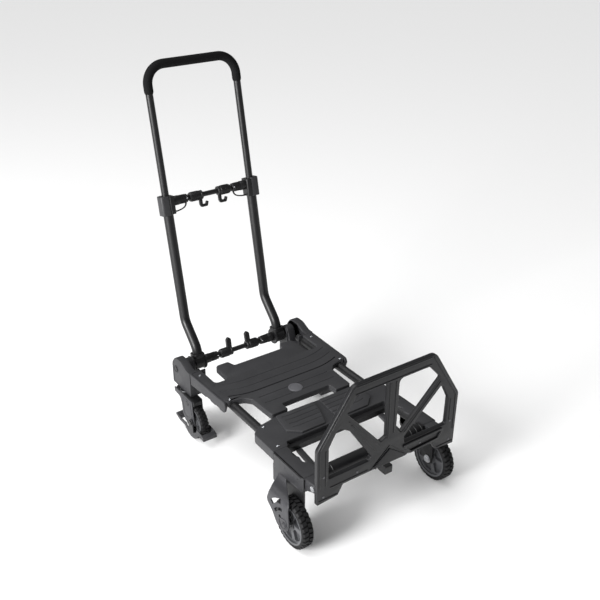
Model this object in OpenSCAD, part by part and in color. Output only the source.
// Convertible folding hand truck: a four-wheel platform with a fold-down toe
// plate at the front and a folding, telescoping handle at the back.
// X is the width, +Y points from the toe plate to the handle, Z is up.
// The wheels stand on z = 0 and the origin is below the middle of the truck.

/* [Platform] */
// Height of the deck top above the floor
deck_z = 197; // [190:1:210]
// Half width of the deck panels
deck_half_w = 200; // [195:1:204]
// Half distance between the two side tubes
tube_x = 173; // [170:1:176]
// Outer radius of the side tubes
tube_r = 12; // [10:0.5:12]

/* [Wheels] */
// Radius of the front wheels
front_r = 64; // [60:1:65]
// Width of the front tyres
front_w = 30; // [26:1:30]
// Half track of the front wheels
front_x = 222; // [221:0.5:222.5]
// Radius of the rear caster wheels
rear_r = 50; // [46:1:50]
// Width of the rear caster tyres
rear_w = 24; // [20:1:24]
// Half track of the casters
rear_x = 200; // [198:1:202]

/* [Toe plate] */
// Thickness of the toe plate
nose_t = 12; // [10:1:12]
// Half width of the toe plate
nose_half_w = 209.5; // [205:0.5:212]
// Height of the top of the toe plate
nose_top_z = 449; // [430:1:455]

/* [Handle] */
// Lean of the handle behind the upright, in degrees
lean = 10.8; // [8:0.1:12]
// Half distance between the handle legs
leg_x = 135; // [134:0.5:136]
// Outer radius of the lower handle tubes
lower_r = 14; // [14:0.5:14]
// Outer radius of the sliding upper tubes
upper_r = 10; // [10:0.5:10]
// Radius of the corners of the grip
grip_bend = 52; // [45:1:58]

/* [Hidden] */

$fn = 64;

charcoal = [0.17, 0.17, 0.18];
deck_grey = [0.26, 0.26, 0.27];
side_grey = [0.36, 0.36, 0.38];
black = [0.07, 0.07, 0.08];
silver = [0.75, 0.76, 0.78];
hub_grey = [0.33, 0.34, 0.35];

// ---- platform
wall = 3;
deck_t = 6;
tongue_h = 18;
skirt_z = 163;
tube_z = deck_z - deck_t - 0.5 - tube_r;
tube_wall = 2;
tube_back_y = 172;
tube_front_y = -385;
mid_top_z = 192;
shell_x = 205;
shell_bottom_z = 156;
shell_back_y = -264;
shell_front_y = -391;
mid_back_y = -176;
plateau_tip_y = -243;
member_z = 174;
member = [12, 16];
rear_member_y = 60;
mid_member_y = -258;
link_back_y = mid_member_y - member.x / 2;
cross_y = -391;
cross_z = 172;
cross_r = 21;
cross_half = 160;
emblem_at = [-5, -69];
emblem_r = 20;
screw_at = [[187, 128], [181, -20], [170, -166], [184, -252]];

// ---- rear corners
ear_in_x = 157;
dome_in_x = 184;
ear_out_x = 207;
ear_front_y = 150;
ear_back_y = 254;
housing_top_z = 152;
ear_bottom_z = 122;
ear_top_z = 216;

// ---- handle
pivot = [233, 172];
pivot_r = 5;
stub_lean = 8;
slant_lean = 44.5;
stub_len = 41;
slant_len = 88;
bend_r = 50;
stub_start = 12;
// The gap between a straight length of tube and the bend beside it
seam = 0.01;
lower_bore = 12;
lower_top = 352;
housing_low = 312;
housing_high = 364;
crossbar_w = 346;
core_r = 7;
core_bore = 4;
sleeve_r = 12;
collar_r = 13;
rod_r = 3;
gap_run = 0.05;
bow_low = 295;
grip_w = 711;
grip_r = 12.5;
grip_low = 638;

// ---- toe plate
nose_y = -451.5;
nose_back_y = nose_y + nose_t;
nose_axis = [-422, 184];
nose_pin_r = 4;
nose_foot_z = 158;
rail_low_z = 188;
rail_high_z = 221;
nose_in_x = 178;
nose_top_in = 417;
shoulder_z = 308;
top_half = 115;

// ---- front wheels and forks
front_y = -377;
arm_out_x = 249;
arm_t = 4;
fork_in_x = 200;
fork_front_y = -392;
fork_back_y = -298;
leg_back_y = -262;
front_axle_r = 5;

// ---- casters
swivel_y = 196;
rear_y = 136;
crown_low = 104;
crown_high = 118;
caster_arm_in = 13.5;
caster_arm_t = 3;
caster_axle_r = 5;
web = 5;
pedal_x = 18.5;
pedal_t = 3;

// ---- nose release lever
lever_axis = [-398, 146];
lever_x = [4, 25];
lever_pin_r = 3;

// ================= functions
function unit(v) = v / norm(v);
function toward(a) = [sin(a), cos(a)];

// An arc about c from angle a to angle b, in n steps
function arc(c, r, a, b, n = 8) = [for (i = [0:n]) c + r * [cos(a + (b - a) * i / n), sin(a + (b - a) * i / n)]];

// One corner of an outline of [x, y, radius] points, rounded by its own radius
function corner(before, at, after, n) =
    let (p = [at.x, at.y], u = unit([before.x, before.y] - p), v = unit([after.x, after.y] - p))
    let (r = at[2], h = acos(u * v) / 2)
    r <= 0 ? [p] :
    let (c = p + unit(u + v) * r / sin(h), turn = 180 - 2 * h)
    let (d = (p + u * r / tan(h) - c) / r, e = (p + v * r / tan(h) - c) / r)
    [for (k = [0:n]) c + r * (d * sin((1 - k / n) * turn) + e * sin(k / n * turn)) / sin(turn)];

// A whole outline of [x, y, radius] points as plain points
function rounded(p, n = 5) =
    [for (i = [0:len(p) - 1]) each corner(p[(i + len(p) - 1) % len(p)], p[i], p[(i + 1) % len(p)], n)];

// A right-hand half outline joined to its mirror image
function both_halves(p) = concat(p, [for (i = [len(p) - 1:-1:0]) [-p[i].x, p[i].y, p[i][2]]]);

// A clockwise outline moved inwards by d, with each corner radius kept in step
function inset(p, d) =
    [for (i = [0:len(p) - 1])
        let (a = p[(i + len(p) - 1) % len(p)], b = p[i], c = p[(i + 1) % len(p)])
        let (u = unit([b.x - a.x, b.y - a.y]), v = unit([c.x - b.x, c.y - b.y]))
        let (m = [u.y, -u.x], n = [v.y, -v.x], s = u.x * v.y - u.y * v.x)
        let (q = [b.x, b.y] + d * (m + n) / (1 + m * n))
        [q.x, q.y, b[2] <= 0 ? 0 : max(0.5, b[2] + (s < 0 ? -d : d))]];

// ================= shape helpers
module side(s) { mirror([s < 0 ? 1 : 0, 0, 0]) children(); }

module along_x(low, high) { translate([low, 0, 0]) rotate([90, 0, 90]) linear_extrude(height = high - low) children(); }

module along_y(low, high) { translate([0, high, 0]) rotate([90, 0, 0]) linear_extrude(height = high - low) children(); }

module along_z(low, high) { translate([0, 0, low]) linear_extrude(height = high - low) children(); }

module outline(p, n = 5) { polygon(rounded(p, n)); }

module rod_x(low, high, at, r) { translate([low, at.x, at.y]) rotate([0, 90, 0]) cylinder(h = high - low, r = r); }

module rod_y(low, high, x, z, r) { translate([x, high, z]) rotate([90, 0, 0]) cylinder(h = high - low, r = r); }

// The space that the two side tubes take up
module tube_space() { for (s = [-1, 1]) rod_y(tube_front_y - 1, tube_back_y + 1, s * tube_x, tube_z, tube_r); }

// ================= platform
module side_tube() {
    color(charcoal) difference() {
        rod_y(tube_front_y, tube_back_y, tube_x, tube_z, tube_r);
        rod_y(tube_front_y - 1, tube_back_y + 1, tube_x, tube_z, tube_r - tube_wall);
    }
}

module crossmember(y) {
    color(charcoal) difference() {
        along_x(-tube_x, tube_x) translate([y, member_z]) square(member, center = true);
        along_x(-tube_x - 1, tube_x + 1) translate([y, member_z])
            square(member - [4, 4], center = true);
        tube_space();
    }
}

module front_cross_tube() {
    color(charcoal) {
        difference() {
            union() {
                rod_x(-cross_half, cross_half, [cross_y, cross_z], cross_r);
                for (x = [lever_x[0] - 6, lever_x[1] + 2])
                    along_x(x, x + 4) polygon([[-408, 138], [-388, 138], [-380, 165], [-402, 165]]);
            }
            rod_x(-cross_half - 1, cross_half + 1, [cross_y, cross_z], cross_r - 2.5);
            rod_x(-60, 60, lever_axis, lever_pin_r + gap_run);
        }
    }
}

rear_half = [
    [80, 123, 5], [87, 148, 7], [130, 148, 14], [131, 71, 12], [171, 71, 12], [172, ear_front_y, 0],
    [206, ear_front_y, 0], [deck_half_w, 40, 40], [deck_half_w - 1, -30, 16], [178, -26, 20],
    [147, -35, 24], [131, -52, 14], [127, -140, 8], [77, -140, 4], [77, -111, 6]
];

module rear_deck_panel() {
    p = both_halves(rear_half);
    color(deck_grey) difference() {
        along_z(skirt_z, deck_z) outline(p);
        along_z(skirt_z - 1, deck_z - deck_t) outline(inset(p, wall));
        translate([-190, -200, skirt_z - 1]) cube([380, 400, deck_z - tongue_h - skirt_z + 1]);
        tube_space();
        translate([emblem_at.x, emblem_at.y, deck_z - 1]) cylinder(h = 2, r = emblem_r);
        screw_space();
    }
}

mid_half = [
    [126, -146, 6], [176, -156, 30], [shell_x - 1, mid_back_y, 16], [shell_x, shell_back_y, 0],
    [160, shell_back_y, 6], [156, -248, 8], [60, -248, 0]
];
plateau_half = [[122, -149, 3], [134, -215, 6], [104, plateau_tip_y, 4], [70, plateau_tip_y - 2, 0]];

module mid_deck_panel() {
    p = both_halves(mid_half);
    color(deck_grey) difference() {
        union() {
            difference() {
                along_z(shell_bottom_z, mid_top_z) outline(p);
                along_z(shell_bottom_z - 1, mid_top_z - deck_t) outline(inset(p, wall));
                translate([-196, -300, shell_bottom_z - 1]) cube([392, 200, 20]);
            }
            along_z(mid_top_z, deck_z) outline(both_halves(plateau_half));
        }
        tube_space();
        along_x(-tube_x, tube_x) translate([mid_member_y, member_z]) square(member, center = true);
        screw_space();
        translate([10, -239, mid_top_z + 0.5]) cube([40, 55, 5]);
    }
}

module deck_emblem() {
    color(side_grey) translate([emblem_at.x, emblem_at.y, deck_z - 1])
        difference() {
            cylinder(h = 1.5, r = emblem_r);
            translate([0, 0, 1]) difference() {
                cylinder(h = 1, r = emblem_r - 3);
                translate([0, 0, -1]) cylinder(h = 3, r = emblem_r - 8);
            }
        }
}

function panel_top(y) = y > mid_back_y + 40 ? deck_z : mid_top_z;

module screw_space() {
    for (s = [-1, 1], p = screw_at) translate([s * p.x, p.y, panel_top(p.y)]) {
        translate([0, 0, -deck_t - 4]) cylinder(h = deck_t + 5, r = 2);
        translate([0, 0, -1.5]) cylinder(h = 3, r = 4);
    }
}

module screw() {
    difference() {
        union() {
            translate([0, 0, -deck_t - 2]) cylinder(h = deck_t + 1, r = 2);
            translate([0, 0, -1.5]) cylinder(h = 1.5, r = 4);
        }
        for (a = [0, 90]) rotate(a) translate([-2.2, -0.4, -0.8]) cube([4.4, 0.8, 2]);
    }
}

module deck_screws() {
    color(silver) difference() {
        for (s = [-1, 1], p = screw_at) translate([s * p.x, p.y, panel_top(p.y)]) screw();
        tube_space();
    }
}

// Side view of the dome over the handle's pivot, and of the space inside it
ear_profile = [
    [ear_front_y, ear_bottom_z, 0], [ear_back_y, ear_bottom_z, 4], [ear_back_y, 186, 22],
    [235, ear_top_z, 22], [200, ear_top_z, 24], [168, deck_z, 18], [ear_front_y, deck_z, 0]
];
ear_cavity = [
    [ear_front_y + wall, ear_bottom_z + 5, 0], [ear_back_y + 5, ear_bottom_z + 5, 0], [ear_back_y + 5, 183, 0],
    [233, ear_top_z - wall, 20], [201, ear_top_z - wall, 22], [170, deck_z - wall, 18],
    [ear_front_y + wall, deck_z - wall, 0]
];

// An upright block in the side view, between two distances and two heights
module side_block(front, back, low, high) { polygon([[front, low], [back, low], [back, high], [front, high]]); }

module rear_corner() {
    color(side_grey) difference() {
        union() {
            along_x(dome_in_x, ear_out_x) outline(ear_profile);
            along_x(ear_in_x, ear_out_x) side_block(ear_front_y, ear_back_y, ear_bottom_z, housing_top_z);
            along_x(ear_in_x, ear_out_x) side_block(ear_front_y, ear_front_y + wall, ear_bottom_z, deck_z);
            along_x(ear_in_x, ear_in_x + wall) outline([
                [pivot.x - 22, housing_top_z - 1, 0], [pivot.x + 20, housing_top_z - 1, 0],
                [pivot.x + 20, pivot.y + 22, 16], [pivot.x - 22, pivot.y + 22, 16]
            ]);
        }
        along_x(dome_in_x - 1, ear_out_x - wall) outline(ear_cavity);
        along_x(ear_in_x + wall, ear_out_x - wall)
            side_block(ear_front_y + wall, ear_back_y + 5, ear_bottom_z + 5, housing_top_z - wall);
        rod_x(ear_in_x - 1, ear_out_x + 1, pivot, pivot_r);
        translate([rear_x, swivel_y, ear_bottom_z - 1]) cylinder(h = 8, r = 6);
        tube_space();
    }
}

shell_edge = [
    [shell_x, shell_front_y, 0], [shell_x, shell_back_y, 0], [163, shell_back_y, 0], [161, -282, 8], [168, -300, 8],
    [159, -316, 8], [163, -336, 10], [151, -352, 8], [149, -372, 8], [160, shell_front_y, 0]
];

module front_shell() {
    color(side_grey) difference() {
        union() {
            along_z(mid_top_z - 4, mid_top_z) outline([for (i = [len(shell_edge) - 1:-1:0]) shell_edge[i]]);
            along_x(shell_x - 4, shell_x) outline([
                [shell_front_y, shell_bottom_z, 0], [shell_front_y, mid_top_z, 0],
                [shell_back_y, mid_top_z, 0], [shell_back_y, shell_bottom_z, 0]
            ]);
            along_x(cross_half, shell_x) polygon([
                [shell_front_y, shell_bottom_z], [shell_front_y, mid_top_z],
                [shell_front_y + 6, mid_top_z], [shell_front_y + 6, shell_bottom_z]
            ]);
            along_x(167, 200) hinge_boss_outline();
        }
        rod_x(140, 210, nose_axis, nose_pin_r);
        rod_x(100, cross_half, [cross_y, cross_z], cross_r);
        tube_space();
    }
}

// Side view of the boss that carries the toe plate's hinge pin
module hinge_boss_outline() {
    polygon(concat(arc(nose_axis, 12, 90, 270, 16), [[shell_front_y, 160], [shell_front_y, mid_top_z]]));
}

fork_band = [
    [fork_in_x + 1, shell_bottom_z, 0], [shell_x, shell_bottom_z, 0], [shell_x + 2, 149, 5], [244, 135, 8],
    [arm_out_x, 124, 8], [arm_out_x, 40, 0], [arm_out_x - arm_t, 40, 0], [arm_out_x - arm_t, 124, 5],
    [241, 131.5, 4], [shell_x - 1, 144, 5]
];

function fork_side() = concat(
    [[fork_back_y, shell_bottom_z], [fork_back_y, 100], [fork_back_y - 4, 95]],
    arc([front_y, front_r], 15, -60, -180, 14),
    [[fork_front_y, shell_bottom_z]]
);

function inner_side() = concat(
    [[leg_back_y, shell_bottom_z], [leg_back_y, 108], [leg_back_y - 5, 103], [-330, 90]],
    arc([front_y, front_r], 15, -50, -180, 14),
    [[fork_front_y, shell_bottom_z]]
);

module front_fork() {
    color(side_grey) difference() {
        union() {
            intersection() {
                along_y(fork_front_y, fork_back_y) outline(fork_band);
                along_x(fork_in_x, arm_out_x + 1) polygon(fork_side());
            }
            along_x(fork_in_x, fork_in_x + 4) polygon(inner_side());
        }
        rod_x(190, 260, [front_y, front_r], front_axle_r);
        rod_x(arm_out_x - 8, arm_out_x + 5, [-338, 113], 7);
        rod_x(arm_out_x - 8, arm_out_x + 5, [-350, 97], 4.5);
        rod_x(arm_out_x - 8, arm_out_x + 5, [-359, 80], 2.2);
    }
}

module front_axles() {
    color(silver) for (s = [-1, 1]) side(s) {
        rod_x(fork_in_x, arm_out_x, [front_y, front_r], front_axle_r);
        rod_x(arm_out_x, arm_out_x + 3, [front_y, front_r], 9);
        translate([fork_in_x - 5, front_y, front_r]) rotate([0, 90, 0]) cylinder(h = 5, r = 9, $fn = 6);
    }
}

module link_bar() {
    color(charcoal) along_x(122, 138)
        polygon([[link_back_y, 170], [link_back_y, 163], [-372, 143], [-380, 148], [-378, 152]]);
}

module nose_hinge_pins() {
    color(silver) for (s = [-1, 1]) side(s) {
        rod_x(140, 200, nose_axis, nose_pin_r);
        rod_x(200, 203, nose_axis, 7);
    }
}

module handle_pivot_pins() {
    color(silver) for (s = [-1, 1]) side(s) {
        rod_x(125, ear_out_x, pivot, pivot_r);
        rod_x(ear_out_x, ear_out_x + 3, pivot, 9);
    }
}

module swivel_heads() {
    color(silver) for (s = [-1, 1]) side(s) translate([rear_x, swivel_y, 0]) {
        translate([0, 0, crown_low - 3]) cylinder(h = ear_bottom_z + 7 - crown_low + 3, r = 6);
        translate([0, 0, crown_high + 0.5]) difference() {
            cylinder(h = ear_bottom_z - crown_high - 0.5, r = 15);
            translate([0, 0, -1]) cylinder(h = 8, r = 6);
        }
        translate([0, 0, crown_low - 7]) difference() {
            cylinder(h = 6.5, r = 9, $fn = 6);
            translate([0, 0, 4]) cylinder(h = 3, r = 6);
        }
    }
}

// ================= toe plate
nose_outline = [
    [136, rail_low_z, 2], [150, nose_foot_z + 5, 3], [nose_half_w, nose_foot_z, 3],
    [nose_half_w, shoulder_z, 22], [top_half, nose_top_z, 24]
];
window_top_left = [[-130, 378, 6], [-104, nose_top_in, 8], [-14, nose_top_in, 8], [-12, 268, 4], [-29, 261, 4]];
window_top_right = [[15, 281, 4], [18, nose_top_in, 12], [104, nose_top_in, 16], [143, 374, 5], [30, 262, 4]];
window_low_right = [[42, 246, 4], [153, 349, 6], [nose_in_x - 2, 303, 12], [nose_in_x - 4, 224, 4], [43, 224, 4]];
window_low_left = [
    [-nose_in_x, rail_high_z, 3], [-nose_in_x, 306, 12], [-153, 350, 8], [-119, 328, 12], [-54, 230, 5],
    [-62, rail_high_z, 4]
];

module nose_frame() {
    color(charcoal) {
        difference() {
            union() {
                along_y(nose_y, nose_back_y) difference() {
                    outline(both_halves(nose_outline));
                    for (w = [window_top_left, window_top_right, window_low_right, window_low_left]) outline(w);
                }
                for (s = [-1, 1]) side(s) along_x(143, 163) polygon(concat(
                    arc(nose_axis, 11, -90, 90, 16),
                    [[nose_back_y, 200], [nose_back_y, 172]]
                ));
            }
            for (s = [-1, 1]) side(s) rod_x(140, 166, nose_axis, nose_pin_r + gap_run);
            for (p = rivet_at) rivet_hole(p);
        }
    }
}

rivet_at = [[-192, 176], [-192, 232], [192, 176], [192, 232], [-96, 204], [96, 206]];

module rivet_hole(p) { translate([p.x, nose_y + 4, p.y]) rotate([90, 0, 0]) cylinder(h = 6, r = 2); }

module nose_rivets() {
    color(silver) for (p = rivet_at) {
        translate([p.x, nose_y + 4, p.y]) rotate([90, 0, 0]) cylinder(h = 4, r = 2);
        translate([p.x, nose_y, p.y]) rotate([90, 0, 0]) cylinder(h = 1, r = 3.5);
    }
}

module nose_gusset() {
    color(charcoal) along_y(nose_y - 3, nose_y) outline([[-1, 233, 2], [-50, 193, 2], [56, 190, 2]]);
}

module nose_ledge() {
    color(charcoal) along_y(nose_y - 4, nose_y) difference() {
        outline([[38, 220, 5], [62, 193, 6], [152, 196, 6], [170, 221, 5]]);
        outline([[50, 215, 3], [66, 200, 3], [148, 202, 3], [160, 215, 3]]);
    }
}

module nose_release_lever() {
    color(black) {
        along_x(lever_x[0], lever_x[1]) outline([
            [-437, 139, 3], [-414, 139, 3], [-404, 141, 3], [-391, 141, 3], [-391, 148, 2], [-404, 151, 3],
            [-414, 162, 3], [-437, 162, 3]
        ]);
        rod_x(lever_x[0] - 6, lever_x[1] + 6, lever_axis, lever_pin_r);
    }
}

// ================= handle
elbow_1 = pivot + stub_len * toward(stub_lean);
elbow_2 = elbow_1 + slant_len * toward(slant_lean);

// A frame whose Z runs up the leaning handle tubes from the upper elbow
module lean_frame() { translate([0, elbow_2.x, elbow_2.y]) rotate([-lean, 0, 0]) children(); }

// A straight round length in the side plane, from point p along a lean angle
module leg_piece(p, a, low, high, r) {
    translate([leg_x, p.x, p.y]) rotate([-a, 0, 0]) translate([0, 0, low]) cylinder(h = high - low, r = r);
}

// The same length as a tube
module leg_pipe(p, a, low, high) {
    difference() {
        leg_piece(p, a, low, high, lower_r);
        leg_piece(p, a, low - 1, high + 1, lower_bore);
    }
}

// How much straight a bend between two leans uses up on each side of its corner
function bend_reach(a, b) = bend_r * tan(abs(b - a) / 2);

// A tube bend at point p from lean a to lean b
module bend_pipe(p, a, b) {
    s = b > a ? 1 : -1;
    c = p - bend_reach(a, b) * toward(a) + s * bend_r * [cos(a), -sin(a)];
    translate([leg_x, c.x, c.y]) rotate([90, 0, 90]) rotate([0, 0, b > a ? 180 - b : -a])
        rotate_extrude(angle = abs(b - a)) translate([bend_r, 0]) difference() {
            circle(r = lower_r);
            circle(r = lower_bore);
        }
}

// Each length is drawn on its own and ends a hair short of the next bend
module handle_tube() {
    first = bend_reach(stub_lean, slant_lean) + seam;
    second = bend_reach(slant_lean, lean) + seam;
    color(charcoal) {
        leg_pipe(pivot, stub_lean, stub_start, stub_len - first);
        bend_pipe(elbow_1, stub_lean, slant_lean);
        leg_pipe(elbow_1, slant_lean, first, slant_len - second);
        bend_pipe(elbow_2, slant_lean, lean);
        leg_pipe(elbow_2, lean, second, lower_top);
    }
}

module hinge_block() {
    color(black) difference() {
        union() {
            rod_x(119, 152, pivot, 21);
            intersection() {
                leg_piece(pivot, stub_lean, 0, 24, 19);
                translate([119, 150, 100]) cube([33, 200, 200]);
            }
        }
        leg_piece(pivot, stub_lean, stub_start, 60, lower_r);
        rod_x(124, 160, pivot, pivot_r + gap_run);
    }
}

// The tube that joins the two legs, with slots for the lock rods' cross pins
module crossbar_core(half) {
    color(charcoal) difference() {
        rod_x(-half, half, [0, 0], core_r);
        rod_x(-half - 1, half + 1, [0, 0], core_bore);
        for (s = [-1, 1]) side(s) translate([30, -2.5, -10]) cube([22, 5, 20]);
    }
}

module lower_crossbar() { translate([0, pivot.x, pivot.y]) rotate([-lean, 0, 0]) crossbar_core(119); }

module upper_crossbar() { lean_frame() translate([0, 0, crossbar_w]) crossbar_core(116); }

module sleeve() {
    difference() {
        rod_x(72, 116, [0, 0], sleeve_r);
        rod_x(71, 117, [0, 0], core_r);
        rod_x(76, 100, [0, 0], 9.2);
    }
}

module crossbar_sleeves() {
    color(black) {
        for (s = [-1, 1]) lean_frame() translate([0, 0, crossbar_w]) side(s) sleeve();
        for (s = [-1, 1]) translate([0, pivot.x, pivot.y]) rotate([-lean, 0, 0]) side(s) sleeve();
    }
}

module spring() {
    for (i = [0:4]) translate([79 + i * 4.4, 0, 0]) rotate([0, 90, 0])
        rotate_extrude($fn = 32) translate([8.1, 0]) circle(r = 0.7, $fn = 16);
}

module release_springs() {
    color(silver) {
        for (s = [-1, 1]) lean_frame() translate([0, 0, crossbar_w]) side(s) spring();
        for (s = [-1, 1]) translate([0, pivot.x, pivot.y]) rotate([-lean, 0, 0]) side(s) spring();
    }
}

housing_outline = [[116, -17, 5], [116, 17, 5], [156, 15, 8], [156, -15, 8]];
loop_outer = [[118, 340, 0], [118, 313, 3], [84, 319, 9], [73, 332, 5], [73, 340, 0]];
loop_inner = [[114, 343, 0], [114, 317, 2], [87, 323, 7], [77, 333, 4], [77, 343, 0]];

module lock_housing() {
    color(black) lean_frame() difference() {
        union() {
            along_z(housing_low, housing_high) outline(housing_outline);
            difference() {
                along_y(-3, 3) difference() {
                    outline(loop_outer);
                    outline(loop_inner);
                }
                rod_x(60, 117, [0, crossbar_w], sleeve_r);
            }
        }
        translate([leg_x, 0, housing_low - 1]) cylinder(h = lower_top - housing_low + 1, r = lower_r);
        translate([leg_x, 0, lower_top - 1]) cylinder(h = housing_high - lower_top - 2, r = 13);
        translate([leg_x, 0, housing_high - 5]) cylinder(h = 6, r = upper_r + 0.6);
        rod_x(110, 118, [0, crossbar_w], core_bore);
    }
}

module guide_bushes() {
    color(black) for (s = [-1, 1]) side(s) lean_frame() translate([leg_x, 0, lower_top]) difference() {
        cylinder(h = housing_high - lower_top - 3, r = 13);
        translate([0, 0, -1]) cylinder(h = 20, r = upper_r + gap_run);
    }
}

// A sliding collar with the rod that it pulls and the pin that joins them
module release_collar(rod_end) {
    difference() {
        rod_x(24, 65, [0, 0], collar_r);
        rod_x(23, 66, [0, 0], core_r + gap_run);
    }
    rod_x(38, rod_end, [0, 0], rod_r);
    translate([42, 0, -10]) cylinder(h = 20, r = 1.5);
}

hook_outline = [[26, 0, 0], [26, -26, 3], [30, -35, 4], [50, -35, 4], [54, -22, 2], [47, -20, 2], [44, -27, 2], [36, -27, 3],
    [36, 0, 0]];

module upper_release() {
    color(black) lean_frame() translate([0, 0, crossbar_w]) {
        release_collar(114.5);
        difference() {
            along_y(-4, 4) outline(hook_outline);
            rod_x(20, 70, [0, 0], core_r + 2);
        }
    }
}

module lower_release() {
    color(black) translate([0, pivot.x, pivot.y]) rotate([-lean, 0, 0]) {
        release_collar(117);
        difference() {
            along_y(-4, 4) outline([[24.5, 0, 0], [24.5, 46, 4], [30, 53, 6], [37, 46, 4], [39, 0, 0]]);
            rod_x(20, 70, [0, 0], core_r + 2);
        }
    }
}

// ================= sliding bow
module bow_shape(r, low) {
    for (s = [-1, 1]) translate([s * leg_x, 0, low]) cylinder(h = grip_w - grip_bend - low, r = r);
    for (s = [-1, 1]) side(s) translate([leg_x - grip_bend, 0, grip_w - grip_bend]) rotate([90, 0, 0])
        rotate_extrude(angle = 90) translate([grip_bend, 0]) circle(r = r);
    rod_x(grip_bend - leg_x, leg_x - grip_bend, [0, grip_w], r);
}

module handle_bow() {
    color(charcoal) lean_frame() difference() {
        bow_shape(upper_r, bow_low);
        bow_shape(upper_r - 1.5, bow_low - 1);
    }
}

module bow_end_bushes() {
    color(black) lean_frame() for (s = [-1, 1]) translate([s * leg_x, 0, bow_low - 8]) {
        difference() {
            union() {
                cylinder(h = 8, r = lower_bore - gap_run);
                cylinder(h = 20, r = upper_r - 1.5);
            }
            translate([0, 0, -1]) cylinder(h = 30, r = 5);
        }
    }
}

module foam_grip() {
    color(black) lean_frame() difference() {
        bow_shape(grip_r, grip_low);
        bow_shape(upper_r, grip_low - 1);
    }
}

// ================= wheels, drawn about the X axis
module tyre(r, rim, w) {
    rotate([0, 90, 0]) rotate_extrude() polygon([
        [rim, -w / 2], [r - 8, -w / 2], [r - 2, -w / 2 + 2], [r, -w / 2 + 6],
        [r, w / 2 - 6], [r - 2, w / 2 - 2], [r - 8, w / 2], [rim, w / 2]
    ]);
}

module hub(rim, bore, w, spokes) {
    boss = bore + 9;
    difference() {
        union() {
            rotate([0, 90, 0]) rotate_extrude() polygon([
                [rim - 6, -w / 2 + 3], [rim, -w / 2 + 2], [rim, w / 2 - 2], [rim - 6, w / 2 - 3]
            ]);
            rod_x(-w / 2 + 8, w / 2 - 8, [0, 0], rim - 3);
            rod_x(-w / 2, w / 2, [0, 0], boss);
        }
        for (s = [-1, 1], i = [0:spokes - 1]) side(s) rotate([i * 360 / spokes, 0, 0]) along_x(web / 2, w) outline([
            [boss + 4, -boss * 0.45, 3], [rim - 9, -rim * 0.38, 3], [rim - 6, 0, 6], [rim - 9, rim * 0.38, 3],
            [boss + 4, boss * 0.45, 3]
        ]);
        rod_x(-w, w, [0, 0], bore);
    }
}

module front_tyre() { color(black) translate([front_x, front_y, front_r]) tyre(front_r, front_r - 13, front_w); }

module front_hub() {
    color(hub_grey) translate([front_x, front_y, front_r])
        hub(front_r - 13, front_axle_r + gap_run, front_w, 5);
}

function caster_arm() = concat(
    [[124, crown_high], [124, 48]], arc([rear_y, rear_r], 14, 200, 290, 8),
    [[180, 38], [188, 46], [192, 70], [198, crown_high]]
);

module caster_fork() {
    color(side_grey) translate([rear_x, 0, 0]) difference() {
        union() {
            along_z(crown_low, crown_high) outline([
                [-16.5, 124, 3], [-16.5, 222, 14], [0, 236, 16], [16.5, 222, 14], [16.5, 124, 3]
            ]);
            for (s = [-1, 1]) side(s) along_x(caster_arm_in, caster_arm_in + caster_arm_t) polygon(caster_arm());
        }
        translate([0, swivel_y, crown_low - 1]) cylinder(h = 30, r = 6 + gap_run);
        rod_x(-30, 30, [rear_y, rear_r], caster_axle_r);
    }
}

module caster_axle() {
    color(silver) translate([rear_x, 0, 0]) {
        rod_x(-22.5, 22.5, [rear_y, rear_r], caster_axle_r);
        for (s = [-1, 1]) side(s) rod_x(22.5, 24.5, [rear_y, rear_r], 8);
    }
}

module caster_tyre() { color(black) translate([rear_x, rear_y, rear_r]) tyre(rear_r, rear_r - 10, rear_w); }

module caster_hub() {
    color(hub_grey) translate([rear_x, rear_y, rear_r])
        hub(rear_r - 10, caster_axle_r + gap_run, rear_w, 5);
}

// Side view of one cheek of the brake pedal: a boss, a web and a curved band
module pedal_cheek() {
    c = [rear_y, rear_r];
    polygon(concat(arc(c, 9, 40, 140, 8), [c + [-14, -30]], arc(c, 34, 212, 190, 4), [c + [-62, -10], c + [-72, -14],
        c + [-72, -24]], arc(c, 48, 205, 322, 18), [c + [66, -30], c + [90, -22], c + [88, -15], c + [62, -18]],
        arc(c, 34, -32, -60, 4)));
}

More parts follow.
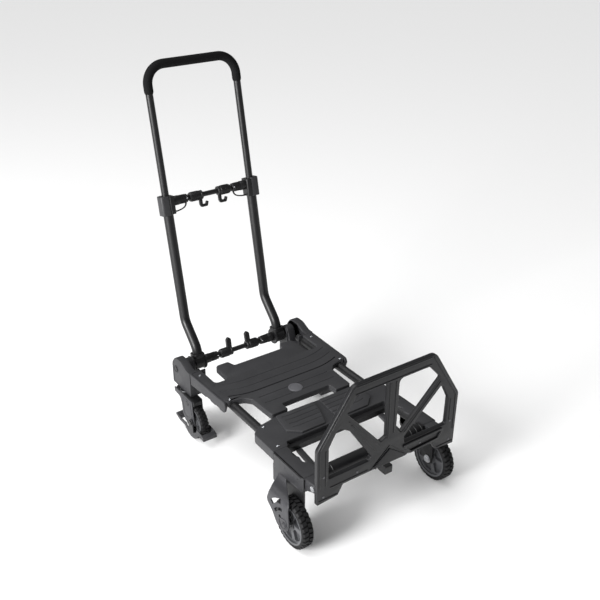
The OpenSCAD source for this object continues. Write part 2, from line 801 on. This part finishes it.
module brake_pedal() {
    color(charcoal) translate([rear_x, 0, 0]) difference() {
        union() {
            for (s = [-1, 1]) side(s) along_x(pedal_x, pedal_x + pedal_t) pedal_cheek();
            along_x(-pedal_x - pedal_t, pedal_x + pedal_t) translate([rear_y, rear_r])
                polygon([[-62, -10], [-72, -14], [-72, -24], [-66, -24], [-57, -12]]);
            along_x(-pedal_x - pedal_t, pedal_x + pedal_t) translate([rear_y, rear_r])
                polygon([[66, -26], [90, -21], [88, -15], [64, -20]]);
        }
        rod_x(-30, 30, [rear_y, rear_r], caster_axle_r + gap_run);
    }
}

side(-1) side_tube();  // side_tube_left
side(1) side_tube();  // side_tube_right
crossmember(rear_member_y);  // rear_crossmember
crossmember(mid_member_y);  // mid_crossmember
front_cross_tube();
rear_deck_panel();
mid_deck_panel();
deck_emblem();
deck_screws();
side(-1) rear_corner();  // rear_corner_left
side(1) rear_corner();  // rear_corner_right
side(-1) front_shell();  // front_shell_left
side(1) front_shell();  // front_shell_right
side(-1) front_fork();  // front_fork_left
side(1) front_fork();  // front_fork_right
front_axles();
side(-1) link_bar();  // link_bar_left
side(1) link_bar();  // link_bar_right
nose_hinge_pins();
handle_pivot_pins();
swivel_heads();
nose_frame();
nose_gusset();
nose_ledge();
nose_rivets();
nose_release_lever();
side(-1) hinge_block();  // hinge_block_left
side(1) hinge_block();  // hinge_block_right
side(-1) handle_tube();  // handle_tube_left
side(1) handle_tube();  // handle_tube_right
lower_crossbar();
upper_crossbar();
crossbar_sleeves();
side(-1) lock_housing();  // lock_housing_left
side(1) lock_housing();  // lock_housing_right
guide_bushes();
release_springs();
side(-1) upper_release();  // upper_release_left
side(1) upper_release();  // upper_release_right
side(-1) lower_release();  // lower_release_left
side(1) lower_release();  // lower_release_right
handle_bow();
bow_end_bushes();
foam_grip();
side(-1) front_tyre();  // front_tyre_left
side(1) front_tyre();  // front_tyre_right
side(-1) front_hub();  // front_hub_left
side(1) front_hub();  // front_hub_right
side(-1) caster_fork();  // caster_fork_left
side(1) caster_fork();  // caster_fork_right
side(-1) caster_axle();  // caster_axle_left
side(1) caster_axle();  // caster_axle_right
side(-1) caster_tyre();  // caster_tyre_left
side(1) caster_tyre();  // caster_tyre_right
side(-1) caster_hub();  // caster_hub_left
side(1) caster_hub();  // caster_hub_right
side(-1) brake_pedal();  // brake_pedal_left
side(1) brake_pedal();  // brake_pedal_right
